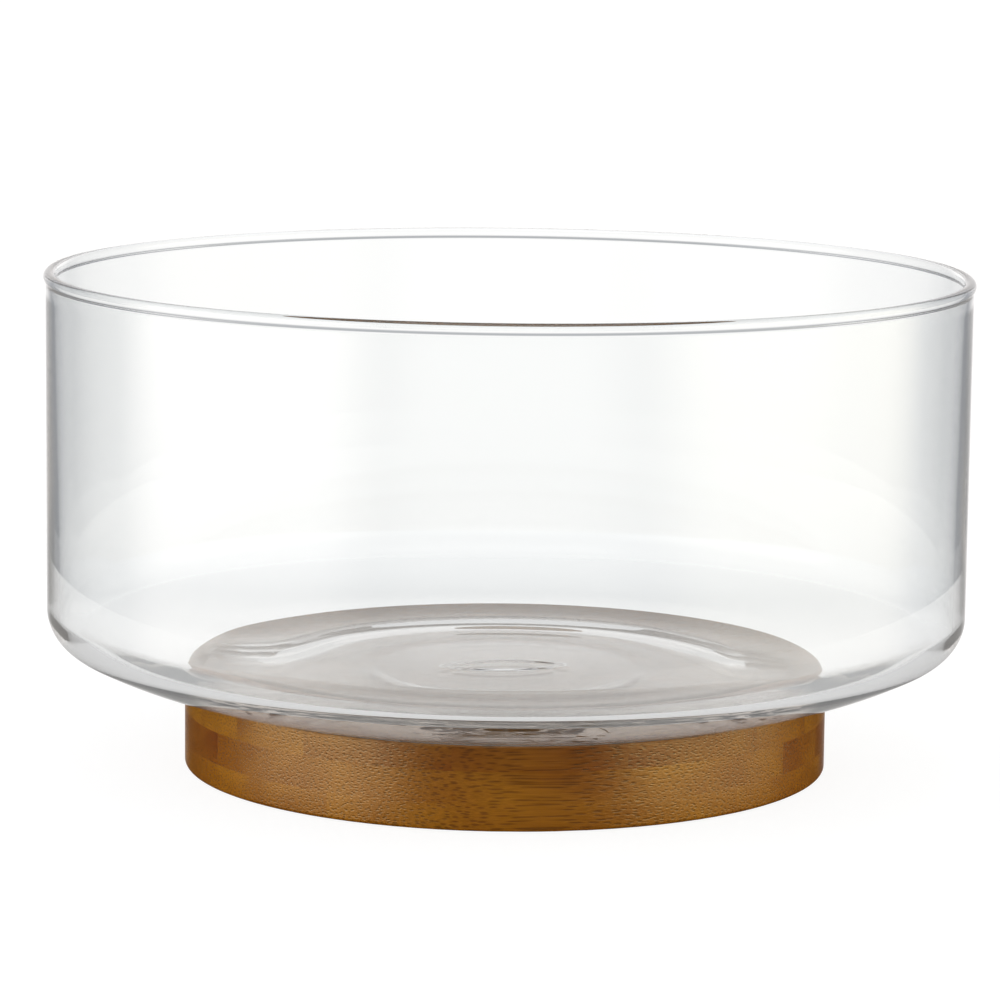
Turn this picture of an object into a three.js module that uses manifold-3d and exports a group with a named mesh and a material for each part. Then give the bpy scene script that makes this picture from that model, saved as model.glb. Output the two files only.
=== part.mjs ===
// Clear glass fruit bowl that stands in a shallow dish on a round base of laminated bamboo.
// Millimetres, +Z up. The origin is on the axis, at the surface that the base stands on.
import * as THREE from "three";
import { mergeVertices } from "three/addons/utils/BufferGeometryUtils.js";
import Module from "manifold-3d";

const wasm = await Module();
wasm.setup();

// Glass bowl, outside
const RIM_DIAMETER = 250;
const BOWL_HEIGHT = 113.7;
const CORNER_RADIUS = 11;
const SWEEP_RADIUS = 114;
const FOOT_DIAMETER = 132;
const KICK_DIAMETER = 74;
const KICK_HEIGHT = 0.8;

// Glass bowl, thickness and inside
const WALL_AT_RIM = 2;
const WALL_AT_CORNER = 3.2;
const BEAD_SWELL = 0.6;
const FLOOR_THICKNESS = 5;
const INSIDE_FLOOR_DIAMETER = 124;
const INSIDE_SWEEP_RADIUS = 146;
const INSIDE_CORNER_RADIUS = 9;

// Bamboo base
const BASE_DIAMETER = 174.5;
const BOTTOM_PLY = 7.1;
const MIDDLE_PLY = 8.5;
const TOP_PLY = 6.7;
const DISH_DEPTH = 1.6;
const LOWER_EDGE_RADIUS = 1;
const UPPER_EDGE_BREAK = 0.4;

// Strips: their width, the least that is left as a strip of its own at the back, and in each ply what the
// turning leaves of the front strip
const STRIP_WIDTH = 20;
const LEAST_BACK_STRIP = 10;
const BOTTOM_FRONT_STRIP = 18.2;
const MIDDLE_FRONT_STRIP = 12.2;
const TOP_FRONT_STRIP = 3;

// How much wider the dish is turned than the foot that stands in it, at the radius
const SEAT_CLEARANCE = 1.6;

// How far the dish's cut runs past the base
const CUT_MARGIN = 5;

// Facets round a full turn, and along an arc of the profile
const TURN_FACETS = 72;
const ARC_FACETS = 6;
const BEAD_FACETS = 10;

const baseRadius = BASE_DIAMETER / 2;
const baseHeight = BOTTOM_PLY + MIDDLE_PLY + TOP_PLY;
const footRadius = FOOT_DIAMETER / 2;
const seatHeight = baseHeight - DISH_DEPTH;
const quarterTurn = Math.PI / 2;

// Points of an arc in the radius and height plane, angles in radians from the direction of growing radius
function arc(centreRadius, centreHeight, radius, from, to, facets) {
  const points = [];
  for (let i = 0; i <= facets; i += 1) {
    const angle = from + ((to - from) * i) / facets;
    const r = centreRadius + radius * Math.cos(angle);
    points.push(new THREE.Vector2(r, centreHeight + radius * Math.sin(angle)));
  }
  return points;
}

// Half a section from a flat floor out to an upright wall: a wide sweep, then a tight corner tangent to both
function floorToWall(floorRadius, floorHeight, sweepRadius, cornerRadius, wallRadius) {
  const cornerCentre = wallRadius - cornerRadius;
  const bend = Math.asin((cornerCentre - floorRadius) / (sweepRadius - cornerRadius));
  const cornerHeight = floorHeight + sweepRadius - (sweepRadius - cornerRadius) * Math.cos(bend);
  const sweepCentre = floorHeight + sweepRadius;
  const turnOut = bend - quarterTurn;
  const sweep = arc(floorRadius, sweepCentre, sweepRadius, -quarterTurn, turnOut, ARC_FACETS);
  const corner = arc(cornerCentre, cornerHeight, cornerRadius, turnOut, 0, ARC_FACETS);
  return [...sweep, ...corner.slice(1)];
}

// Solid of revolution about Z from a section that starts and ends on the axis
function turned(section) {
  const geometry = new THREE.LatheGeometry(section, TURN_FACETS);
  return geometry.rotateX(quarterTurn);
}

function toManifold(geometry) {
  const bare = geometry.clone();
  bare.deleteAttribute("normal");
  bare.deleteAttribute("uv");
  const merged = mergeVertices(bare);
  const mesh = new wasm.Mesh({
    numProp: 3,
    vertProperties: merged.attributes.position.array,
    triVerts: new Uint32Array(merged.index.array),
  });
  return new wasm.Manifold(mesh);
}

function toGeometry(solid) {
  const { vertProperties, triVerts } = solid.getMesh();
  const geometry = new THREE.BufferGeometry();
  geometry.setAttribute("position", new THREE.BufferAttribute(vertProperties, 3));
  geometry.setIndex(new THREE.BufferAttribute(triVerts, 1));
  geometry.computeVertexNormals();
  return geometry;
}

// Bowl: the whole floor lifts in a shallow kick, so the glass stands on the ring outside it
function glassBowlGeometry() {
  const beadRadius = WALL_AT_RIM / 2 + BEAD_SWELL;
  const beadCentre = RIM_DIAMETER / 2 - beadRadius;
  const beadHeight = BOWL_HEIGHT - beadRadius;
  const wallRadius = RIM_DIAMETER / 2 - BEAD_SWELL;
  const beadMeetsWall = Math.acos(WALL_AT_RIM / 2 / beadRadius);

  const kickRadius = KICK_DIAMETER / 2;
  const kickCurve = (kickRadius ** 2 + KICK_HEIGHT ** 2) / (2 * KICK_HEIGHT);
  const kickSpread = Math.asin(kickRadius / kickCurve);
  const kickCentre = KICK_HEIGHT - kickCurve;
  const kick = arc(0, kickCentre, kickCurve, quarterTurn, quarterTurn - kickSpread, ARC_FACETS);
  kick[0].x = 0;

  const outside = floorToWall(footRadius, 0, SWEEP_RADIUS, CORNER_RADIUS, wallRadius);
  const bead = arc(beadCentre, beadHeight, beadRadius, -beadMeetsWall, Math.PI + beadMeetsWall, BEAD_FACETS);
  const inside = floorToWall(
    INSIDE_FLOOR_DIAMETER / 2,
    FLOOR_THICKNESS,
    INSIDE_SWEEP_RADIUS,
    INSIDE_CORNER_RADIUS,
    wallRadius - WALL_AT_CORNER,
  );
  const floor = kick.map((point) => new THREE.Vector2(point.x, point.y + FLOOR_THICKNESS));
  return turned([...kick, ...outside, ...bead, ...inside.reverse(), ...floor.reverse()]);
}

// Round blank of the whole base: rounded below, edge broken above
function baseBlank() {
  const lowerCentre = baseRadius - LOWER_EDGE_RADIUS;
  return toManifold(
    turned([
      new THREE.Vector2(0, 0),
      ...arc(lowerCentre, LOWER_EDGE_RADIUS, LOWER_EDGE_RADIUS, -quarterTurn, 0, ARC_FACETS),
      new THREE.Vector2(baseRadius, baseHeight - UPPER_EDGE_BREAK),
      new THREE.Vector2(baseRadius - UPPER_EDGE_BREAK, baseHeight),
      new THREE.Vector2(0, baseHeight),
    ]),
  );
}

// What the lathe takes out of the top: the shape of the bowl's underside, a clearance wider
function dishCutter() {
  const dishRadius = footRadius + SEAT_CLEARANCE;
  const past = baseRadius + CUT_MARGIN;
  const spread = Math.asin((past - dishRadius) / SWEEP_RADIUS);
  const sweepCentre = seatHeight + SWEEP_RADIUS;
  const sweep = arc(dishRadius, sweepCentre, SWEEP_RADIUS, -quarterTurn, spread - quarterTurn, 2 * ARC_FACETS);
  const top = sweepCentre;
  return toManifold(
    turned([
      new THREE.Vector2(0, seatHeight),
      ...sweep,
      new THREE.Vector2(past, top),
      new THREE.Vector2(0, top),
    ]),
  );
}

// Edges of a ply's strips from front to back. A remainder too thin to glue stays with the strip before it.
function stripEdges(frontStrip) {
  const edges = [-baseRadius];
  for (let joint = frontStrip - baseRadius; joint <= baseRadius - LEAST_BACK_STRIP; joint += STRIP_WIDTH) {
    edges.push(joint);
  }
  edges.push(baseRadius);
  return edges;
}

function stripBlock(front, back, low, high) {
  const block = new THREE.BoxGeometry(BASE_DIAMETER, back - front, high - low);
  block.translate(0, (front + back) / 2, (low + high) / 2);
  return toManifold(block);
}

const glass = () => new THREE.MeshStandardMaterial({
  color: 0xf1f5f6,
  roughness: 0.03,
  metalness: 0,
  transparent: true,
  opacity: 0.35,
});
const bamboo = (color) => new THREE.MeshStandardMaterial({ color, roughness: 0.5, metalness: 0 });

const PLIES = [
  { name: "bottom", thickness: BOTTOM_PLY, frontStrip: BOTTOM_FRONT_STRIP, tones: [0x9a6a31, 0x8f6230] },
  { name: "middle", thickness: MIDDLE_PLY, frontStrip: MIDDLE_FRONT_STRIP, tones: [0xa87838, 0x966a31] },
  { name: "top", thickness: TOP_PLY, frontStrip: TOP_FRONT_STRIP, tones: [0x7d5226, 0x8c602d] },
];

function bambooBase() {
  const group = new THREE.Group();
  const dished = baseBlank().subtract(dishCutter());
  let low = 0;
  for (const ply of PLIES) {
    const high = low + ply.thickness;
    const edges = stripEdges(ply.frontStrip);
    for (let i = 0; i + 1 < edges.length; i += 1) {
      const strip = dished.intersect(stripBlock(edges[i], edges[i + 1], low, high));
      const mesh = new THREE.Mesh(toGeometry(strip), bamboo(ply.tones[i % ply.tones.length]));
      mesh.name = `${ply.name}_strip_${String(i + 1).padStart(2, "0")}`;
      group.add(mesh);
    }
    low = high;
  }
  return group;
}

const glassBowl = new THREE.Mesh(glassBowlGeometry(), glass());
glassBowl.name = "glass_bowl";
glassBowl.position.z = seatHeight;

const fruitBowl = new THREE.Group();
fruitBowl.add(bambooBase(), glassBowl);

export default fruitBowl;
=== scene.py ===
"""Clear glass fruit bowl on a laminated bamboo base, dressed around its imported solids."""

import math
import random

import bpy
from mathutils import Matrix, Vector


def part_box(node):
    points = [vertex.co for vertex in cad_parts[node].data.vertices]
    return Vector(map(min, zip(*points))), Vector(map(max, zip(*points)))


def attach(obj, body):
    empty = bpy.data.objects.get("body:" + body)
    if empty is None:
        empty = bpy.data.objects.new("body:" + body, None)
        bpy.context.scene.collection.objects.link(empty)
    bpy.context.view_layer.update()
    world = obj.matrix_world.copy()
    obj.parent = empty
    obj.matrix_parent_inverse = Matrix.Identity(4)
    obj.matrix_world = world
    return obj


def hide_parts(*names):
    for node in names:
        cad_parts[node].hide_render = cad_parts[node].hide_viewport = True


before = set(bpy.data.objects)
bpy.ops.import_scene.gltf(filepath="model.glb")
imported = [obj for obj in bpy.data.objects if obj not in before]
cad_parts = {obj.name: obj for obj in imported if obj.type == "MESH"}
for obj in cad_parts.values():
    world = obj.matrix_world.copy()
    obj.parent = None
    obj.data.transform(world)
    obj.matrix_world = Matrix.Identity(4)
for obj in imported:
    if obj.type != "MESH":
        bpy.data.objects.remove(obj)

bl_info = {
    "name": "Glass fruit bowl",
    "version": (1, 0, 0),
    "blender": (4, 5, 0),
    "location": "View3D > Sidebar > Fruit bowl",
    "description": "Dresses a glass bowl and its laminated bamboo base around their solids",
    "category": "Object",
}

MM = 0.001
QUARTER_TURN = math.pi / 2
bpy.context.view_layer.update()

BOWL_NODE = "glass_bowl"
STRIP_NODES = sorted(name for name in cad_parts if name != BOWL_NODE)
BOWL_LOW, BOWL_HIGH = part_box(BOWL_NODE)
BASE_REACH = max(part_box(name)[1].x for name in STRIP_NODES)


def srgb(code):
    """Linear red, green and blue of an sRGB colour such as #8F6231."""
    channels = []
    for start in (1, 3, 5):
        value = int(code[start:start + 2], 16) / 255
        channels.append(value / 12.92 if value <= 0.04045 else ((value + 0.055) / 1.055) ** 2.4)
    return tuple(channels)


def opaque(rgb):
    """A colour with full alpha, as the sockets want it."""
    return (*rgb, 1.0)


def length(label, words, default):
    """A length property in metres from a default in millimetres."""
    return bpy.props.FloatProperty(
        name=label, description=words, default=default * MM, unit="LENGTH", precision=4
    )


def angle(label, words, default):
    """An angle property in radians from a default in degrees."""
    return bpy.props.FloatProperty(
        name=label, description=words, default=math.radians(default), subtype="ANGLE"
    )


def colour(label, words, code):
    """A colour property from an sRGB code."""
    return bpy.props.FloatVectorProperty(
        name=label, description=words, default=srgb(code), subtype="COLOR", size=3, min=0.0, max=1.0
    )


class FruitBowlGlass(bpy.types.PropertyGroup):
    """Sizes and tint of the blown bowl"""

    rim_diameter: length("Rim diameter", "Across the bead at the rim", (BOWL_HIGH.x - BOWL_LOW.x) / MM)
    foot_height: length("Foot height", "How high above the table the foot stands", BOWL_LOW.z / MM)
    height: length("Height", "From the foot to the top of the bead", (BOWL_HIGH.z - BOWL_LOW.z) / MM)
    corner: length("Corner radius", "Tight bend from the underside into the wall", 11)
    sweep: length("Sweep radius", "Wide bend of the underside", 114)
    foot: length("Foot diameter", "Flat part of the underside", 132)
    kick: length("Kick height", "How far the middle of the underside is pushed up", 0.8)
    kick_diameter: length("Kick diameter", "Across the pushed-up middle", 74)
    wall_at_rim: length("Wall at the rim", "Glass thickness just under the bead", 2)
    wall_at_corner: length("Wall at the corner", "Glass thickness just above the corner", 3.2)
    bead: length("Bead swell", "How far the bead stands out from either face of the wall", 0.6)
    bead_fillet: length("Bead fillet", "Hollow where the bead runs into the wall", 2.2)
    floor: length("Floor thickness", "Glass thickness at the middle of the floor", 5)
    inside_floor: length("Inside floor diameter", "Flat part of the inside", 124)
    inside_sweep: length("Inside sweep radius", "Wide bend of the inside", 146)
    inside_corner: length("Inside corner radius", "Tight bend of the inside into the wall", 9)
    tint: colour("Tint", "Colour that light takes on through the glass", "#FCFDFD")


class FruitBowlBamboo(bpy.types.PropertyGroup):
    """Sizes and colours of the laminated base"""

    diameter: length("Base diameter", "Across the turned base", 2 * BASE_REACH / MM)
    lower_edge: length("Lower edge radius", "Rounding at the foot of the base", 1)
    upper_edge: length("Upper edge break", "Bevel round the top of the base", 0.4)
    groove: length("Glue line", "Depth of the fine line where two strips meet", 0.015)
    dish_flat: length("Dish flat diameter", "Flat part of the dish that the bowl stands in", 135.2)
    dish_sweep: length("Dish sweep radius", "Bend of the dish beyond its flat", 114)
    pale: colour("Pale bamboo", "Ground colour of the palest strips", "#9A640A")
    dark: colour("Dark bamboo", "Ground colour of the strips steamed darkest", "#6C2F01")
    lacquer: colour("Lacquer", "Warm cast of the lacquer's shine", "#FFE3B0")
    bundle: colour("Fibre bundles", "Colour of the fibre bundles, dots at the end grain", "#3E2106")


class FruitBowlStage(bpy.types.PropertyGroup):
    """Camera, light and table"""

    turn: angle("Camera turn", "How far round the axis the camera stands from the front", -6.2)
    distance: length("Camera distance", "Level distance from the axis to the lens", 1167.9)
    camera_height: length("Camera height", "Height of the lens above the table", 255.1)
    pitch: angle("Pitch", "How far the camera looks down", 8.9181)
    yaw: angle("Yaw", "How far the camera looks aside of the axis", 0.0974)
    roll: angle("Roll", "How far the camera leans", 0.65)
    lens: bpy.props.FloatProperty(
        name="Lens", description="Focal length in millimetres", default=156.83, unit="CAMERA"
    )
    table_radius: length("Table radius", "Radius of the round white table", 320)
    light: bpy.props.FloatProperty(
        name="Light level", description="How bright all the softboxes are, where 1 is plain", default=1.0
    )


def add_node(tree, kind, inputs=None, **settings):
    """Adds a node, sets its properties, and gives its inputs values or links."""
    made = tree.nodes.new(kind)
    for name, value in settings.items():
        setattr(made, name, value)
    for name, value in (inputs or {}).items():
        if isinstance(value, bpy.types.NodeSocket):
            tree.links.new(value, made.inputs[name])
        else:
            made.inputs[name].default_value = value
    return made


def new_material(name):
    """An empty node material with its output node."""
    material = bpy.data.materials.new(name)
    material.use_nodes = True
    material.node_tree.nodes.clear()
    return material, material.node_tree, add_node(material.node_tree, "ShaderNodeOutputMaterial")


# Edges that turn more than this are crisp: worked wood has them, fire-polished glass has none
WOOD_CRISP_ABOVE = math.radians(12)
GLASS_CRISP_ABOVE = math.pi


def new_piece(name, verts, faces, material, crisp_above=WOOD_CRISP_ABOVE):
    """A smooth-shaded mesh object whose edges stay crisp above an angle."""
    mesh = bpy.data.meshes.new(name)
    mesh.from_pydata(verts, [], faces)
    mesh.validate()
    mesh.polygons.foreach_set("use_smooth", [True] * len(mesh.polygons))
    mesh.set_sharp_from_angle(angle=crisp_above)
    mesh.materials.append(material)
    piece = bpy.data.objects.new(name, mesh)
    bpy.context.scene.collection.objects.link(piece)
    return piece


def smooth(value, start, end):
    """0 before the start, 1 after the end, and an even curve between them."""
    share = max(0.0, min(1.0, (value - start) / (end - start)))
    return share * share * (3 - 2 * share)


def arc(centre_r, centre_z, radius, start, end, steps):
    """Points of an arc in the radius and height plane, angles in radians from outward."""
    points = []
    for i in range(steps + 1):
        turn = start + (end - start) * i / steps
        points.append((centre_r + radius * math.cos(turn), centre_z + radius * math.sin(turn)))
    return points


def straight(start, end, steps):
    """Points between two points of a section, both ends left out."""
    return [
        (start[0] + (end[0] - start[0]) * i / steps, start[1] + (end[1] - start[1]) * i / steps)
        for i in range(1, steps)
    ]


def floor_to_wall(floor_r, floor_z, sweep, corner, wall_r, steps):
    """Half a section from a flat floor to an upright wall: a wide sweep, then a corner tangent to both."""
    corner_r = wall_r - corner
    bend = math.asin((corner_r - floor_r) / (sweep - corner))
    corner_z = floor_z + sweep - (sweep - corner) * math.cos(bend)
    turn_out = bend - QUARTER_TURN
    wide = arc(floor_r, floor_z + sweep, sweep, -QUARTER_TURN, turn_out, steps)
    return wide + arc(corner_r, corner_z, corner, turn_out, 0.0, steps)[1:]


# Facets of the glass: round the bowl, and along the stretches of its section
GLASS_TURNS = 320
KICK_STEPS = 16
SWEEP_STEPS = 24
WALL_STEPS = 24
FILLET_STEPS = 6
BEAD_STEPS = 32
INSIDE_STEPS = 72
FLOOR_STEPS = 120

# What blowing leaves on the inside of the glass. Swells: turns round the bowl, phase, drift with height,
# share. Rings from the spinning mould: spacing, phase, how far they wander, share.
SWELLS = ((2, 0.6, 1.1, 0.42), (3, 2.2, -1.7, 0.30), (5, 4.1, 2.3, 0.17), (8, 1.3, -3.1, 0.11))
SWELL_DRIFT = 50 * MM
RINGS = ((6.5 * MM, 0.4, 1.3, 0.30), (10.5 * MM, 2.9, 0.9, 0.40), (17 * MM, 5.0, 0.6, 0.30))

# How far the inside strays from true on the wall, on the sweep and in its rings, and the share of the
# floor's radius at which the rings have grown to full height
WALL_SWELL = 0.04 * MM
SWEEP_SWELL = 0.07 * MM
RING_SWELL = 0.008 * MM
RINGS_FULL = 0.5

# Relief of the floor: radius of the middle, half the width, height. The power makes the sides steep.
FLOOR_RELIEF = ((50 * MM, 12 * MM, -0.3 * MM), (67 * MM, 1.8 * MM, 0.05 * MM))
RELIEF_POWER = 6

# The seam of the gather's mark: where it is, half its length and width, depth, and its width as a share
MARK_PLACE = (-1 * MM, -5 * MM)
MARK_HALF = (14.5 * MM, 6 * MM)
MARK_DEPTH = 0.25 * MM
MARK_SEAM = 0.14

# The shoulder: height, where it rises and falls again, how far round from the right its middle is, and how
# near to that middle, as a cosine, it begins and is full
SHOULDER_HEIGHT = 0.7 * MM
SHOULDER_RISE = (50 * MM, 68 * MM)
SHOULDER_FALL = (68 * MM, 94 * MM)
SHOULDER_TURN = math.radians(85)
SHOULDER_ENDS = (-0.35, 0.6)

# Dents of the floor: where they are, how wide, how high
DENTS = (
    (-66 * MM, 36 * MM, 17 * MM, 0.6 * MM),
    (72 * MM, 22 * MM, 20 * MM, 0.15 * MM),
)


def swell(turn, along):
    """Slow unevenness of the inside, between -1 and 1, at a turn round the bowl and along its section."""
    return sum(
        share * math.sin(turns * turn + phase + drift * along / SWELL_DRIFT)
        for turns, phase, drift, share in SWELLS
    )


def rings(turn, along):
    """Fine rings of the floor, between -1 and 1, which wander in and out on their way round."""
    return sum(
        share * math.sin(2 * math.pi * along / spacing + phase + wander * math.sin(turn + 2 * phase)
                         + wander * math.sin(2 * turn - phase))
        for spacing, phase, wander, share in RINGS
    )


def dents(x, y):
    """Height of the few places where the floor set unevenly."""
    return sum(
        height * math.exp(-((x - middle_x) ** 2 + (y - middle_y) ** 2) / width ** 2)
        for middle_x, middle_y, width, height in DENTS
    )


def gather_mark(x, y):
    """The lens-shaped seam that the shears left where the gather was cut off."""
    reach = math.hypot((x - MARK_PLACE[0]) / MARK_HALF[0], (y - MARK_PLACE[1]) / MARK_HALF[1])
    return -MARK_DEPTH * math.exp(-(((reach - 1) / MARK_SEAM) ** 2))


def shoulder(x, y):
    """Height of the shoulder round the floor, which the sagging glass piled up towards the back."""
    r = math.hypot(x, y)
    side = smooth(math.cos(math.atan2(y, x) - SHOULDER_TURN), *SHOULDER_ENDS)
    return SHOULDER_HEIGHT * side * smooth(r, *SHOULDER_RISE) * (1 - smooth(r, *SHOULDER_FALL))


def floor_relief(r):
    """How far the floor stands above its plain section: a ring-shaped hollow and a low ridge outside it."""
    return sum(
        height * math.exp(-(((r - middle) / width) ** RELIEF_POWER))
        for middle, width, height in FLOOR_RELIEF
    )


def bowl_section(size):
    """The bowl's section from the middle of the underside round the bead to the middle of the floor.

    Each point is (radius, height, swell height, ring height): only the inside is uneven, because a mould
    shapes the outside.
    """
    bead = size.wall_at_rim / 2 + size.bead
    rim = size.rim_diameter / 2
    bead_r, bead_z = rim - bead, size.height - bead
    wall_r = rim - size.bead
    inside_r = wall_r - size.wall_at_corner
    fillet = size.bead_fillet
    meets = math.acos((size.wall_at_rim / 2 + fillet) / (bead + fillet))
    fillet_z = bead_z - (bead + fillet) * math.sin(meets)

    kick_r = size.kick_diameter / 2
    kick_curve = (kick_r ** 2 + size.kick ** 2) / (2 * size.kick)
    kick_end = QUARTER_TURN - math.asin(kick_r / kick_curve)
    underside = arc(0, size.kick - kick_curve, kick_curve, QUARTER_TURN, kick_end, KICK_STEPS)
    underside[0] = (0.0, size.kick)
    outside = floor_to_wall(size.foot / 2, 0.0, size.sweep, size.corner, wall_r, SWEEP_STEPS)
    rounded = arc(wall_r + fillet, fillet_z, fillet, math.pi, math.pi - meets, FILLET_STEPS)[:-1]
    rounded += arc(bead_r, bead_z, bead, -meets, math.pi + meets, BEAD_STEPS)
    rounded += arc(wall_r - size.wall_at_rim - fillet, fillet_z, fillet, meets, 0.0, FILLET_STEPS)[1:]
    outside += straight(outside[-1], rounded[0], WALL_STEPS)

    inside = floor_to_wall(
        size.inside_floor / 2, size.floor, size.inside_sweep, size.inside_corner, inside_r, INSIDE_STEPS
    )
    flat = straight((0.0, size.floor), inside[0], FLOOR_STEPS)
    wall = straight(inside[-1], rounded[-1], WALL_STEPS)

    section = [(r, z, 0.0, 0.0) for r, z in underside + outside + rounded]
    section += [(r, z, WALL_SWELL * (i + 1) / len(wall), 0.0) for i, (r, z) in enumerate(reversed(wall))]
    for r, z in reversed(inside):
        fade = min(1.0, (inside_r - r) / size.inside_corner)
        slow = WALL_SWELL + (SWEEP_SWELL - WALL_SWELL) * fade
        section.append((r, z + floor_relief(r), slow, RING_SWELL * fade))
    for r, z in reversed(flat):
        share = r / inside[0][0]
        lift = max(0.0, size.kick * (1 - (r / kick_r) ** 2))
        fine = RING_SWELL * min(1.0, share / RINGS_FULL)
        section.append((r, z + lift + floor_relief(r), SWEEP_SWELL * share ** 2, fine))
    section.append((0.0, size.floor + size.kick + floor_relief(0.0), 0.0, 0.0))
    return section


def turned_mesh(section, base_z):
    """Vertices and faces of a solid of revolution, with its unevenness pushed along the section's normal."""
    verts, faces, loops = [], [], []
    along = 0.0
    for i, (r, z, slow, fine) in enumerate(section):
        before = section[max(i - 1, 0)]
        after = section[min(i + 1, len(section) - 1)]
        along += math.dist((r, z), before[:2])
        run = math.dist(before[:2], after[:2])
        normal = ((after[1] - before[1]) / run, (before[0] - after[0]) / run)
        if r == 0.0:
            loops.append([len(verts)])
            verts.append((0.0, 0.0, base_z + z))
            continue
        loops.append(list(range(len(verts), len(verts) + GLASS_TURNS)))
        for k in range(GLASS_TURNS):
            turn = 2 * math.pi * k / GLASS_TURNS
            out = slow * swell(turn, along) + fine * rings(turn, along)
            if fine:
                spot = r * math.cos(turn), r * math.sin(turn)
                out += dents(*spot) + gather_mark(*spot) + shoulder(*spot)
            reach = r + out * normal[0]
            verts.append((reach * math.cos(turn), reach * math.sin(turn), base_z + z + out * normal[1]))
    for low, high in zip(loops, loops[1:]):
        for k in range(GLASS_TURNS):
            following = (k + 1) % GLASS_TURNS
            if len(low) == 1:
                faces.append((low[0], high[following], high[k]))
            elif len(high) == 1:
                faces.append((low[k], low[following], high[0]))
            else:
                faces.append((low[k], low[following], high[following], high[k]))
    return verts, faces


# Glass: how it bends light, and what its depth takes from light that runs far along the floor
GLASS_IOR = 1.51
GLASS_DEPTH = "#C5BCB1"
GLASS_DENSITY = 5.0


def clear_glass(tint):
    """Soda-lime glass, blown in a mould and fire-polished: no colour of its own, and reflections that
    sharpen towards the edges, where the eye looks along the wall."""
    material, tree, output = new_material("clear_soda_lime_glass_fire_polished")
    glass = add_node(tree, "ShaderNodeBsdfPrincipled", {
        "Base Color": opaque(tint),
        "Roughness": 0.0,
        "IOR": GLASS_IOR,
        "Transmission Weight": 1.0,
    })
    depth = add_node(tree, "ShaderNodeVolumeAbsorption", {
        "Color": opaque(srgb(GLASS_DEPTH)), "Density": GLASS_DENSITY,
    })
    tree.links.new(glass.outputs["BSDF"], output.inputs["Surface"])
    tree.links.new(depth.outputs["Volume"], output.inputs["Volume"])
    return material


class FRUITBOWL_OT_glass_bowl(bpy.types.Operator):
    """Blow the glass bowl with its bead, swept underside and uneven inside"""

    bl_idname = "fruitbowl.glass_bowl"
    bl_label = "Glass bowl"

    def execute(self, context):
        size = context.scene.fruit_bowl_glass
        verts, faces = turned_mesh(bowl_section(size), size.foot_height)
        bowl = new_piece("blown_glass_bowl", verts, faces, clear_glass(size.tint), GLASS_CRISP_ABOVE)
        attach(bowl, "bowl")
        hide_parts(BOWL_NODE)
        return {"FINISHED"}


# Bamboo as it grows: fibre bundles run along a strip and are thickest under the skin of the cane. They are
# spaced and scattered like cells, and stray sideways in long bends. Their edge and core are shares of the
# spacing, and the last value is how far their colour covers the ground.
BUNDLE_SPACING = 0.85 * MM
BUNDLE_SCATTER = 0.9
BUNDLE_BEND = 40 * MM
BUNDLE_STRAY = 1.5 * MM
BUNDLE_EDGE_AT_SKIN = 0.42
BUNDLE_EDGE_INSIDE = 0.28
BUNDLE_CORE = 0.12
BUNDLE_COVER = 0.55

# Fine fibres between the bundles: width, length, and the tones of the darkest and the lightest
FIBRE_WIDTH = 0.32 * MM
FIBRE_LENGTH = 45 * MM
FIBRE_TONES = (0.82, 1.1)

# Clouds of tone from the steaming: size across the grain, how much longer they are along it, contrast
CLOUD = 15 * MM
CLOUD_STRETCH = 3
CLOUD_CONTRAST = 1.3

# Relief under the lacquer: pores, then how bundles and pores count against the fibres, depth and strength
PORE = 0.45 * MM
PORE_STRETCH = 6
BUNDLE_RELIEF = -0.6
PORE_RELIEF = 0.9
RELIEF_DEPTH = 0.08 * MM
RELIEF_STRENGTH = 0.42

# Satin lacquer: its roughness from fibre to fibre, and an IOR matched to how strongly the object shines
LACQUER_ROUGHNESS = (0.19, 0.27)
LACQUER_IOR = 2.3

# The middle of a noise's range, where nearly all of it lies, taken narrowly for tone and wider for shine
NOISE_FOR_TONE = (0.35, 0.65)
NOISE_FOR_SHINE = (0.3, 0.7)


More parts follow.
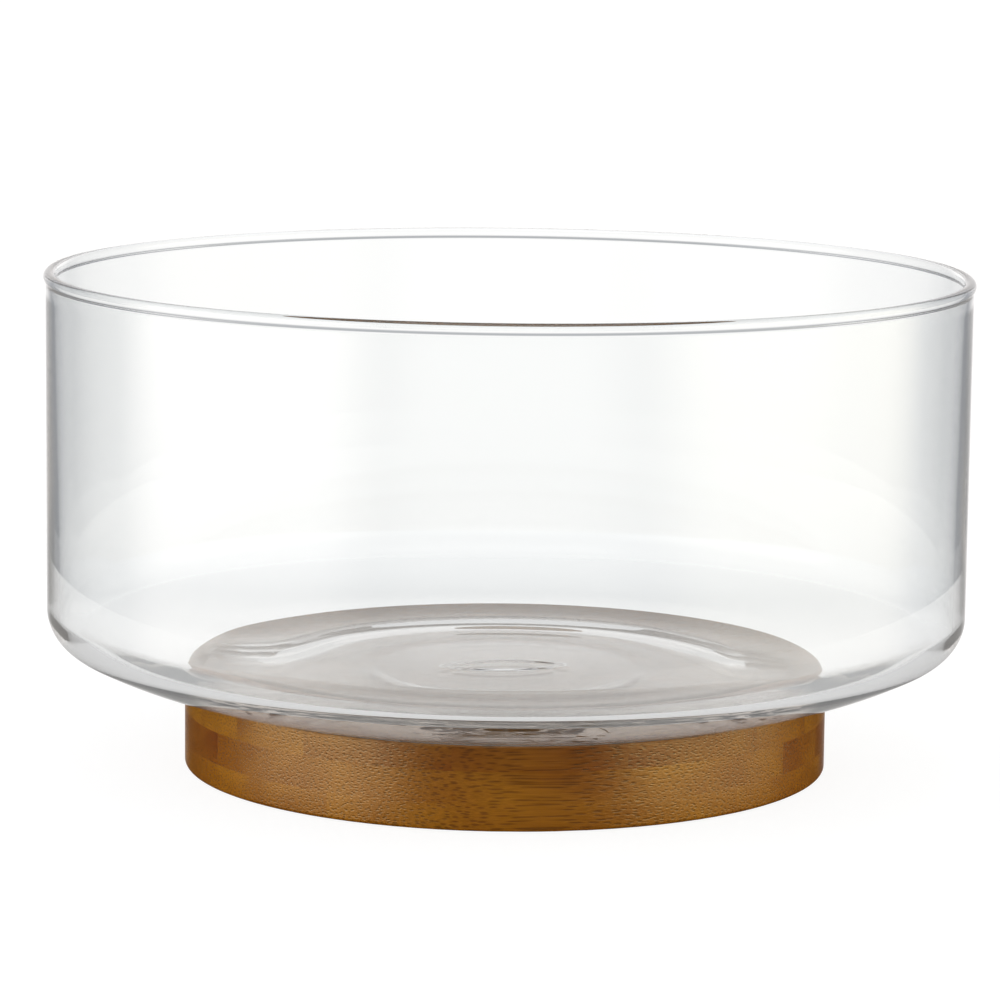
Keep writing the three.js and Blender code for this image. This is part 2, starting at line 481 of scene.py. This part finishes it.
def laminated_bamboo(look):
    """Bamboo strips, steamed to brown, glued, turned, sanded and thinly lacquered: dark fibre bundles that
    show as dots on end grain and as dashes along the grain, tone that changes from strip to strip, with
    painted shade on the upper plies and painted light under the glass, and a satin shine."""
    material, tree, output = new_material("laminated_bamboo_turned_and_lacquered")
    place = add_node(tree, "ShaderNodeTexCoord").outputs["Object"]
    strip = add_node(tree, "ShaderNodeAttribute", attribute_name="strip").outputs["Color"]
    parts = add_node(tree, "ShaderNodeSeparateColor", {"Color": strip})
    # The tone is each strip's own steaming, with painted shade on the upper plies and painted light on the
    # strips under the glass
    tone, under_skin = parts.outputs["Red"], parts.outputs["Green"]
    moved = add_node(tree, "ShaderNodeVectorMath", {
        0: strip, 1: (0.0, 0.0, 1.0), 2: place,
    }, operation="MULTIPLY_ADD").outputs[0]

    def grain(spacing, run):
        """Coordinates squeezed along the strip, so that what is round across the grain is long along it."""
        scale = (1 / run, 1 / spacing, 1 / spacing)
        return add_node(tree, "ShaderNodeVectorMath", {0: moved, 1: scale}, operation="MULTIPLY").outputs[0]

    bend = add_node(tree, "ShaderNodeTexNoise", {
        "Vector": grain(BUNDLE_BEND, BUNDLE_BEND), "Scale": 1.0, "Detail": 1.0,
    })
    strayed = add_node(tree, "ShaderNodeVectorMath", {
        0: bend.outputs["Color"], 1: (BUNDLE_STRAY, BUNDLE_STRAY, BUNDLE_STRAY), 2: moved,
    }, operation="MULTIPLY_ADD")
    across = add_node(tree, "ShaderNodeSeparateXYZ", {0: strayed.outputs[0]})
    section = add_node(tree, "ShaderNodeCombineXYZ", {"X": across.outputs["Y"], "Y": across.outputs["Z"]})
    bundles = add_node(tree, "ShaderNodeTexVoronoi", {
        "Vector": section.outputs[0], "Scale": 1 / BUNDLE_SPACING, "Randomness": BUNDLE_SCATTER,
    }, voronoi_dimensions="2D")
    edge = add_node(tree, "ShaderNodeMapRange", {
        "Value": under_skin, "To Min": BUNDLE_EDGE_AT_SKIN, "To Max": BUNDLE_EDGE_INSIDE,
    })
    dots = add_node(tree, "ShaderNodeMapRange", {
        "Value": bundles.outputs["Distance"], "From Min": edge.outputs[0], "From Max": BUNDLE_CORE,
    }, interpolation_type="SMOOTHSTEP").outputs[0]
    fibres = add_node(tree, "ShaderNodeTexNoise", {
        "Vector": grain(FIBRE_WIDTH, FIBRE_LENGTH), "Scale": 1.0, "Detail": 3.0, "Roughness": 0.6,
    }).outputs["Fac"]
    clouds = add_node(tree, "ShaderNodeTexNoise", {
        "Vector": grain(CLOUD, CLOUD_STRETCH * CLOUD), "Scale": 1.0, "Detail": 2.0, "Roughness": 0.5,
    })
    pores = add_node(tree, "ShaderNodeTexNoise", {
        "Vector": grain(PORE, PORE_STRETCH * PORE), "Scale": 1.0, "Detail": 2.0, "Roughness": 0.6,
    })

    clouded = add_node(tree, "ShaderNodeMath", {
        0: clouds.outputs["Fac"], 1: CLOUD_CONTRAST, 2: tone,
    }, operation="MULTIPLY_ADD")
    darkness = add_node(tree, "ShaderNodeMath", {
        0: clouded.outputs[0], 1: CLOUD_CONTRAST / 2,
    }, operation="SUBTRACT", use_clamp=True)
    ground = add_node(tree, "ShaderNodeMix", {
        "Factor": darkness.outputs[0], "A": opaque(look.pale), "B": opaque(look.dark),
    }, data_type="RGBA")
    streak = add_node(tree, "ShaderNodeMapRange", {
        "Value": fibres, "From Min": NOISE_FOR_TONE[0], "From Max": NOISE_FOR_TONE[1],
        "To Min": FIBRE_TONES[0], "To Max": FIBRE_TONES[1],
    })
    grained = add_node(tree, "ShaderNodeVectorMath", {
        0: ground.outputs["Result"], "Scale": streak.outputs[0],
    }, operation="SCALE")
    cover = add_node(tree, "ShaderNodeMath", {0: dots, 1: BUNDLE_COVER}, operation="MULTIPLY")
    wood = add_node(tree, "ShaderNodeMix", {
        "Factor": cover.outputs[0], "A": grained.outputs[0], "B": opaque(look.bundle),
    }, data_type="RGBA")

    pitted = add_node(tree, "ShaderNodeMath", {
        0: dots, 1: BUNDLE_RELIEF, 2: fibres,
    }, operation="MULTIPLY_ADD")
    relief = add_node(tree, "ShaderNodeMath", {
        0: pores.outputs["Fac"], 1: PORE_RELIEF, 2: pitted.outputs[0],
    }, operation="MULTIPLY_ADD")
    bump = add_node(tree, "ShaderNodeBump", {
        "Height": relief.outputs[0], "Strength": RELIEF_STRENGTH, "Distance": RELIEF_DEPTH,
    })
    dull = add_node(tree, "ShaderNodeMapRange", {
        "Value": fibres, "From Min": NOISE_FOR_SHINE[0], "From Max": NOISE_FOR_SHINE[1],
        "To Min": LACQUER_ROUGHNESS[0], "To Max": LACQUER_ROUGHNESS[1],
    })
    surface = add_node(tree, "ShaderNodeBsdfPrincipled", {
        "Base Color": wood.outputs["Result"],
        "Roughness": dull.outputs[0],
        "IOR": LACQUER_IOR,
        "Normal": bump.outputs[0],
        "Specular Tint": opaque(look.lacquer),
    })
    tree.links.new(surface.outputs["BSDF"], output.inputs["Surface"])
    return material


# Steps along and across the strips of each ply, finest where the dish is cut
STRIP_STEPS = {"bottom": (24, 10), "middle": (24, 10), "top": (72, 16)}

# Degrees between the facets of the lower edge, and where the upper edge's bevel is broken once more, as
# shares of its width and height
LOWER_EDGE_STEP = 10
UPPER_EDGE_KNEE = (0.35, 0.3)

# Between glass and wood is a film of air, which mirrors the light. Along one arc the foot touches: its inner
# and outer radius, how far round from the right its middle is, the cosine at its ends, how it narrows
# towards them and how soft its edge is.
SEAT_AIR = 0.03 * MM
SEAT_RING = (56.5 * MM, 60.5 * MM)
SEAT_TURN = math.radians(80)
SEAT_END = 0.88
SEAT_TAPER = 3.5 * MM
SEAT_SOFT = 1.5 * MM


class StripPlan:
    """One strip of the base: its place between its joints, its ply, and how its edges are worked."""

    def __init__(self, node, size):
        self.low, self.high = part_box(node)
        self.ply = node.split("_")[0]
        self.along, self.across = STRIP_STEPS[self.ply]
        self.radius = size.diameter / 2
        self.size = size
        self.front_joint = self.low.y > -self.radius + size.groove
        self.back_joint = self.high.y < self.radius - size.groove

    def levels(self):
        """(inset, height) of the outlines that the side of the strip is drawn through, from below."""
        groove, low, high = self.size.groove, self.low.z, self.high.z
        lower = [(groove, low), (0.0, low + groove)]
        upper = [(0.0, high - groove), (groove, high)]
        if self.ply == "bottom":
            edge = self.size.lower_edge
            turns = [math.radians(degrees) for degrees in range(0, 91, LOWER_EDGE_STEP)]
            lower = [(edge * (1 - math.sin(turn)), low + edge * (1 - math.cos(turn))) for turn in turns]
        if self.ply == "top":
            edge = self.size.upper_edge
            knee = (UPPER_EDGE_KNEE[0] * edge, high - UPPER_EDGE_KNEE[1] * edge)
            upper = [(0.0, high - edge), knee, (edge, high)]
        return lower + upper

    def outline(self, inset):
        """Rows of (x, y) across the strip from its front joint to its back joint."""
        start = math.acos(max(-1.0, min(1.0, -self.low.y / self.radius)))
        end = math.acos(max(-1.0, min(1.0, -self.high.y / self.radius)))
        rows = []
        for j in range(self.across + 1):
            y = -self.radius * math.cos(start + (end - start) * j / self.across)
            at_joint = (j == 0 and self.front_joint) or (j == self.across and self.back_joint)
            radius = self.radius - inset - (self.size.groove if at_joint else 0.0)
            y = max(-radius, min(radius, y))
            half = math.sqrt(max(radius ** 2 - y ** 2, 0.0))
            rows.append([(half * (2 * i / self.along - 1), y) for i in range(self.along + 1)])
        return rows

    def top_height(self, x, y):
        """Height of the strip's upper face. In the top ply it is the dish that the bowl stands in, a film of
        air below the glass, apart from the arc where the foot touches."""
        if self.ply != "top":
            return self.high.z
        reach = math.hypot(x, y)
        out = max(reach - self.size.dish_flat / 2, 0.0)
        dish = BOWL_LOW.z + self.size.dish_sweep - math.sqrt(self.size.dish_sweep ** 2 - out ** 2)
        side = smooth(math.cos(math.atan2(y, x) - SEAT_TURN), SEAT_END, 1.0)
        inward = min(reach - SEAT_RING[0], SEAT_RING[1] - reach) - SEAT_TAPER * (1 - side)
        return min(self.high.z, dish + SEAT_AIR * max(-1.0, min(1.0, inward / SEAT_SOFT)))


def border(rows):
    """The outer entries of a grid of rows, once round."""
    right = [row[-1] for row in rows[:-1]]
    left = [row[0] for row in rows[:0:-1]]
    return rows[0][:-1] + right + rows[-1][:0:-1] + left


def strip_mesh(plan):
    """Vertices and faces of a strip: a lower and an upper face, and a side drawn through its levels."""
    verts, faces, loops = [], [], []
    levels = plan.levels()
    last = len(levels) - 1
    for number, (inset, height) in enumerate(levels):
        rows = plan.outline(inset)
        if 0 < number < last:
            round_it = border(rows)
            loops.append(list(range(len(verts), len(verts) + len(round_it))))
            rise = (height - plan.low.z) / (plan.high.z - plan.low.z)
            verts += [(x, y, plan.low.z + rise * (plan.top_height(x, y) - plan.low.z)) for x, y in round_it]
            continue
        grid = []
        for row in rows:
            grid.append(list(range(len(verts), len(verts) + len(row))))
            verts += [(x, y, plan.top_height(x, y) if number else height) for x, y in row]
        for lower, upper in zip(grid, grid[1:]):
            for a, b, c, d in zip(lower, lower[1:], upper[1:], upper):
                faces.append((a, b, c, d) if number else (a, d, c, b))
        loops.append(border(grid))
    for lower, upper in zip(loops, loops[1:]):
        for i, corner in enumerate(lower):
            following = (i + 1) % len(lower)
            faces.append((corner, lower[following], upper[following], upper[i]))
    return verts, faces


# Tone of each ply, from pale at 0 to dark at 1, and how far its strips differ. The upper plies are darker as
# painted shade, the shadow of the bowl that stands over the base; the spread from strip to strip is their
# own tone.
PLY_TONES_AND_SHADE = {"bottom": 0.40, "middle": 0.48, "top": 0.58}
TONE_SPREAD = 0.4
GRAIN_SEED = 11

# Behind this line the strips of the top ply, those under the glass, are painted pale: painted light that
# stands in for the light which the glass keeps from them
PAINTED_LIGHT_FROM = -50 * MM
PAINTED_LIGHT_TONE = 0.0


def paint_strip(piece, plan, draw):
    """Stores on a strip's corners its tone, which holds painted shade on the upper plies and painted light
    under the glass, their depth under the cane's skin and its place in the grain.
    """
    # Strips under the glass take the pale tone as painted light
    under_glass = plan.ply == "top" and plan.low.y > PAINTED_LIGHT_FROM
    tone = (PAINTED_LIGHT_TONE if under_glass else PLY_TONES_AND_SHADE[plan.ply]) + TONE_SPREAD * (draw.random() - 0.5)
    skin_up = draw.random() < 0.5
    shift = draw.random()
    layer = piece.data.color_attributes.new("strip", "FLOAT_COLOR", "POINT")
    thickness = plan.high.z - plan.low.z
    for vertex, value in zip(piece.data.vertices, layer.data):
        rise = (vertex.co.z - plan.low.z) / thickness
        value.color = (tone, 1 - rise if skin_up else rise, shift, 1.0)


class FRUITBOWL_OT_bamboo_base(bpy.types.Operator):
    """Glue up and turn the bamboo base, strip by strip"""

    bl_idname = "fruitbowl.bamboo_base"
    bl_label = "Bamboo base"

    def execute(self, context):
        look = context.scene.fruit_bowl_bamboo
        material = laminated_bamboo(look)
        draw = random.Random(GRAIN_SEED)
        for node in STRIP_NODES:
            plan = StripPlan(node, look)
            verts, faces = strip_mesh(plan)
            piece = new_piece("bamboo_" + node, verts, faces, material)
            paint_strip(piece, plan, draw)
            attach(piece, "base")
            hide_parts(node)
        return {"FINISHED"}


# Depths of a path are whole numbers, so half a bounce parts none from one
HALF_A_BOUNCE = 0.5


def straight_through(tree):
    """1 for a ray from the camera, straight or through clear glass, 0 once it was reflected or scattered."""
    path = add_node(tree, "ShaderNodeLightPath")
    sent = add_node(tree, "ShaderNodeMath", {
        0: path.outputs["Is Camera Ray"], 1: path.outputs["Is Transmission Ray"],
    }, operation="MAXIMUM")
    unmirrored = add_node(tree, "ShaderNodeMath", {
        0: path.outputs["Glossy Depth"], 1: HALF_A_BOUNCE,
    }, operation="LESS_THAN")
    both = add_node(tree, "ShaderNodeMath", {
        0: sent.outputs[0], 1: unmirrored.outputs[0],
    }, operation="MULTIPLY")
    return both.outputs[0]


# The paper behind, as angles from the middle of it: how far it is full white, where it has faded away, and
# how high its middle is. It is a little above white, for what the glass takes from it.
PAPER_SPREAD = math.radians(11)
PAPER_FADE = math.radians(28)
PAPER_LIFT = math.radians(6)
LIT_PAPER = (1.07, 1.065, 1.055, 1.0)
MIRRORED_PAPER = (1.07, 1.05, 1.05, 1.0)

# The front of the room, as angles from its middle: how far it is full, and where it has faded into the walls
FRONT_SPREAD = math.radians(15)
FRONT_FADE = math.radians(38)

# Light of the room, where 1 is white: what reaches matt surfaces, the walls below and above as they are
# mirrored, and the unlit front and floor as satin wood mirrors them
ROOM = (0.8, 0.8, 0.8, 1.0)
LOW_WALLS = (0.28, 0.29, 0.31, 1.0)
HIGH_WALLS = (0.07, 0.07, 0.08, 1.0)
UNLIT = (0.02, 0.02, 0.02, 1.0)

# The same room as polished glass mirrors it, and as it shows after a turn inside the glass
FRONT_IN_GLASS = (1.0, 1.0, 1.0, 1.0)
TABLE_IN_GLASS = (0.38, 0.375, 0.365, 1.0)
ROOM_WITHIN = (0.3, 0.32, 0.35, 1.0)
FRONT_WITHIN = (0.85, 0.85, 0.85, 1.0)
CEILING_WITHIN = (0.5, 0.51, 0.53, 1.0)

# Between which heights, as sines of the angle, the walls darken, the ceiling begins and the floor begins
WALLS_DARKEN = (0.2, 0.7)
CEILING_FROM = (0.15, 0.4)
FLOOR_FROM = (0.0, -0.2)


def white_studio(world, behind):
    """Paper-white to the camera and through glass, with a grey ceiling for what the glass bends upwards. In
    reflections, a dim, cool room with the lit paper behind, whose front only polished glass shows lit."""
    world.use_nodes = True
    tree = world.node_tree
    tree.nodes.clear()
    output = add_node(tree, "ShaderNodeOutputWorld")
    path = add_node(tree, "ShaderNodeLightPath")
    singular, transmitted = path.outputs["Is Singular Ray"], path.outputs["Is Transmission Ray"]
    mirror = add_node(tree, "ShaderNodeMath", {
        0: path.outputs["Glossy Depth"], 1: HALF_A_BOUNCE,
    }, operation="GREATER_THAN")

    way = add_node(tree, "ShaderNodeTexCoord").outputs["Generated"]
    up = add_node(tree, "ShaderNodeSeparateXYZ", {0: way}).outputs["Z"]
    ahead = add_node(tree, "ShaderNodeVectorMath", {
        0: way, 1: behind,
    }, operation="DOT_PRODUCT").outputs["Value"]
    reaches = {
        "paper": (ahead, (math.cos(PAPER_FADE), math.cos(PAPER_SPREAD))),
        "front": (ahead, (-math.cos(FRONT_FADE), -math.cos(FRONT_SPREAD))),
        "high": (up, WALLS_DARKEN),
        "ceiling": (up, CEILING_FROM),
        "floor": (up, FLOOR_FROM),
    }
    share = {}
    for name, (value, (start, end)) in reaches.items():
        share[name] = add_node(tree, "ShaderNodeMapRange", {
            "Value": value, "From Min": start, "From Max": end,
        }, interpolation_type="SMOOTHSTEP").outputs[0]
    bent_up = add_node(tree, "ShaderNodeMath", {0: share["ceiling"], 1: transmitted}, operation="MULTIPLY")

    # Each row mixes two shades, plain ones or rows above it: name, factor, shade at 0, shade at 1
    shades = {"lit paper": LIT_PAPER, "mirrored paper": MIRRORED_PAPER, "room": ROOM, "unlit": UNLIT}
    rows = (
        ("walls", share["high"], LOW_WALLS, HIGH_WALLS),
        ("front", singular, "unlit", FRONT_IN_GLASS),
        ("table", singular, "unlit", TABLE_IN_GLASS),
        ("around", share["front"], "walls", "front"),
        ("mirrored", share["floor"], "around", "table"),
        ("within", share["front"], ROOM_WITHIN, FRONT_WITHIN),
        ("dim", transmitted, "mirrored", "within"),
        ("backed", share["paper"], "dim", "mirrored paper"),
        ("reflected", mirror.outputs[0], "room", "backed"),
        ("beyond", bent_up.outputs[0], "lit paper", CEILING_WITHIN),
        ("seen", straight_through(tree), "reflected", "beyond"),
    )
    for name, factor, first, second in rows:
        shades[name] = add_node(tree, "ShaderNodeMix", {
            "Factor": factor, "A": shades.get(first, first), "B": shades.get(second, second),
        }, data_type="RGBA").outputs["Result"]
    light = add_node(tree, "ShaderNodeBackground", {"Color": shades["seen"], "Strength": 1.0})
    tree.links.new(light.outputs[0], output.inputs["Surface"])


# The table: its colour, and between which shares of its radius it turns from a surface that takes a shadow
# to plain white and from the one glow to the other. Reflected and scattered rays get less of the white.
TABLE_COLOUR = "#F3F3F3"
TABLE_WHITENS = (0.4, 0.7)
TABLE_WHITE = (0.82, 1.0)
TABLE_BRIGHTENS = (0.4, 0.75)
TABLE_GLOW = (1.07, 1.1)
TABLE_MIRRORED = 0.75


def white_table(radius):
    """Matt white laminate: white to the camera and through glass, with the soft shadow of what stands on it,
    and without a visible end, because it turns to plain white towards its edge."""
    material, tree, output = new_material("matt_white_laminate_table")
    place = add_node(tree, "ShaderNodeTexCoord").outputs["Object"]
    out = add_node(tree, "ShaderNodeVectorMath", {0: place}, operation="LENGTH").outputs["Value"]
    fades = []
    for (start, end), (near, far) in ((TABLE_WHITENS, TABLE_WHITE), (TABLE_BRIGHTENS, TABLE_GLOW)):
        fades.append(add_node(tree, "ShaderNodeMapRange", {
            "Value": out, "From Min": start * radius, "From Max": end * radius,
            "To Min": near, "To Max": far,
        }, interpolation_type="SMOOTHSTEP").outputs[0])
    whiteness, glow = fades
    seen = add_node(tree, "ShaderNodeMapRange", {"Value": straight_through(tree), "To Min": TABLE_MIRRORED})
    path = add_node(tree, "ShaderNodeLightPath")
    unscattered = add_node(tree, "ShaderNodeMath", {
        0: path.outputs["Is Diffuse Ray"], 1: HALF_A_BOUNCE,
    }, operation="LESS_THAN")
    share = whiteness
    for factor in (seen, unscattered):
        share = add_node(tree, "ShaderNodeMath", {
            0: share, 1: factor.outputs[0],
        }, operation="MULTIPLY").outputs[0]
    matt = add_node(tree, "ShaderNodeBsdfDiffuse", {"Color": opaque(srgb(TABLE_COLOUR))})
    white = add_node(tree, "ShaderNodeEmission", {"Color": opaque(srgb("#FFFFFF")), "Strength": glow})
    mixed = add_node(tree, "ShaderNodeMixShader", {"Fac": share, 1: matt.outputs[0], 2: white.outputs[0]})
    tree.links.new(mixed.outputs[0], output.inputs["Surface"])
    return material


# Softboxes in metres: bearing from the camera's side in degrees, level distance, height of the middle,
# width, height, level, tint
SOFTBOXES = {
    "left_softbox": (-67, 1.2, 0.3, 2.2, 1.4, 2.6, "#FFF8F2"),
    "right_softbox": (75, 1.2, 0.3, 2.6, 1.4, 2.1, "#FFF6DC"),
    "overhead_softbox": (0, 0.0, 1.4, 1.1, 1.1, 1.3, "#FFFFFF"),
}
SOFTBOX_AIM = Vector((0.0, 0.0, 0.07))
SOFTBOX_EDGE = 0.3

# Glass shows less of a softbox after a turn inside it, and least after the many turns of light that is
# guided along the floor: what is left, and between which numbers of reflections it fades to that
LEFT_WITHIN = 0.2
LEFT_GUIDED = 0.12
GUIDED_FROM = (2.5, 5.5)


def softbox(name, place, width, height, level, tint):
    """A rectangular softbox that faces the bowl, level times as bright as white and fading at its edges."""
    lamp = bpy.data.lights.new(name, "AREA")
    lamp.shape = "RECTANGLE"
    lamp.size = width
    lamp.size_y = height
    lamp.color = tint
    lamp.energy = level * math.pi * width * height
    lamp.use_nodes = True
    tree = lamp.node_tree
    spot = add_node(tree, "ShaderNodeNewGeometry").outputs["Parametric"]
    sides = add_node(tree, "ShaderNodeSeparateXYZ", {0: spot})
    factors = []
    for side in ("X", "Y"):
        inward = add_node(tree, "ShaderNodeMath", {0: sides.outputs[side], 1: 0.5}, operation="PINGPONG")
        factors.append(add_node(tree, "ShaderNodeMapRange", {
            "Value": inward.outputs[0], "From Max": SOFTBOX_EDGE,
        }, interpolation_type="SMOOTHSTEP"))
    path = add_node(tree, "ShaderNodeLightPath")
    factors.append(add_node(tree, "ShaderNodeMapRange", {
        "Value": path.outputs["Glossy Depth"], "From Min": GUIDED_FROM[0], "From Max": GUIDED_FROM[1],
        "To Min": 1.0, "To Max": LEFT_GUIDED,
    }))
    turns = add_node(tree, "ShaderNodeMath", {
        0: path.outputs["Glossy Depth"], 1: path.outputs["Transmission Depth"],
    }, operation="MULTIPLY")
    factors.append(add_node(tree, "ShaderNodeMapRange", {
        "Value": turns.outputs[0], "To Min": 1.0, "To Max": LEFT_WITHIN,
    }))
    glow = factors[0].outputs[0]
    for factor in factors[1:]:
        glow = add_node(tree, "ShaderNodeMath", {
            0: glow, 1: factor.outputs[0],
        }, operation="MULTIPLY").outputs[0]
    tree.links.new(glow, tree.nodes["Emission"].inputs["Strength"])
    box = bpy.data.objects.new(name, lamp)
    box.location = place
    box.rotation_euler = (SOFTBOX_AIM - place).to_track_quat("-Z", "Y").to_euler()
    box.visible_camera = False
    bpy.context.scene.collection.objects.link(box)


# Light runs a long way inside thick glass before it leaves
GLASS_BOUNCES = 128

# Millimetres of the sensor that the focal length goes with
SENSOR_WIDTH = 36

TABLE_SIDES = 128
TABLE_DROP = 0.2 * MM


class FRUITBOWL_OT_stage(bpy.types.Operator):
    """Set up the white table, the softboxes and the camera"""

    bl_idname = "fruitbowl.stage"
    bl_label = "Stage"

    def execute(self, context):
        scene = context.scene
        stage = scene.fruit_bowl_stage
        turned = Matrix.Rotation(stage.turn, 3, "Z")
        radius = stage.table_radius
        turns = [2 * math.pi * i / TABLE_SIDES for i in range(TABLE_SIDES)]
        verts = [(radius * math.cos(turn), radius * math.sin(turn), -TABLE_DROP) for turn in turns]
        table = new_piece("white_table", verts, [tuple(range(TABLE_SIDES))], white_table(radius))
        table.visible_glossy = False

        for name, (bearing, distance, middle, width, height, level, tint) in SOFTBOXES.items():
            aside = math.radians(bearing)
            place = turned @ Vector((distance * math.sin(aside), -distance * math.cos(aside), middle))
            softbox(name, place, width, height, level * stage.light, srgb(tint))

        scene.world = bpy.data.worlds.new("white_studio")
        white_studio(scene.world, turned @ Vector((0.0, math.cos(PAPER_LIFT), math.sin(PAPER_LIFT))))
        scene.view_settings.view_transform = "Standard"
        scene.cycles.max_bounces = GLASS_BOUNCES
        scene.cycles.transmission_bounces = GLASS_BOUNCES
        scene.cycles.glossy_bounces = GLASS_BOUNCES

        lens = bpy.data.cameras.new("camera")
        lens.sensor_width = SENSOR_WIDTH
        lens.lens = stage.lens
        camera = bpy.data.objects.new("camera", lens)
        camera.location = turned @ Vector((0.0, -stage.distance, stage.camera_height))
        aim = Matrix.Rotation(stage.turn + stage.yaw, 3, "Z")
        aim = aim @ Matrix.Rotation(QUARTER_TURN - stage.pitch, 3, "X")
        aim = aim @ Matrix.Rotation(stage.roll, 3, "Z")
        camera.rotation_euler = aim.to_euler()
        scene.collection.objects.link(camera)
        scene.camera = camera
        return {"FINISHED"}


SETTINGS = {
    "fruit_bowl_glass": FruitBowlGlass,
    "fruit_bowl_bamboo": FruitBowlBamboo,
    "fruit_bowl_stage": FruitBowlStage,
}
OPERATORS = (FRUITBOWL_OT_glass_bowl, FRUITBOWL_OT_bamboo_base, FRUITBOWL_OT_stage)


class FRUITBOWL_PT_panel(bpy.types.Panel):
    """Pieces of the fruit bowl and their sizes"""

    bl_idname = "FRUITBOWL_PT_panel"
    bl_label = "Fruit bowl"
    bl_space_type = "VIEW_3D"
    bl_region_type = "UI"
    bl_category = "Fruit bowl"

    def draw(self, context):
        for operator in OPERATORS:
            self.layout.operator(operator.bl_idname)
        for name, group in SETTINGS.items():
            for key in group.__annotations__:
                self.layout.prop(getattr(context.scene, name), key)


def register():
    for name, group in SETTINGS.items():
        bpy.utils.register_class(group)
        setattr(bpy.types.Scene, name, bpy.props.PointerProperty(type=group))
    for operator in OPERATORS:
        bpy.utils.register_class(operator)
    bpy.utils.register_class(FRUITBOWL_PT_panel)


def unregister():
    bpy.utils.unregister_class(FRUITBOWL_PT_panel)
    for operator in reversed(OPERATORS):
        bpy.utils.unregister_class(operator)
    for name, group in SETTINGS.items():
        delattr(bpy.types.Scene, name)
        bpy.utils.unregister_class(group)


def main():
    register()
    bpy.ops.fruitbowl.glass_bowl()
    bpy.ops.fruitbowl.bamboo_base()
    bpy.ops.fruitbowl.stage()


if __name__ == "__main__":
    main()
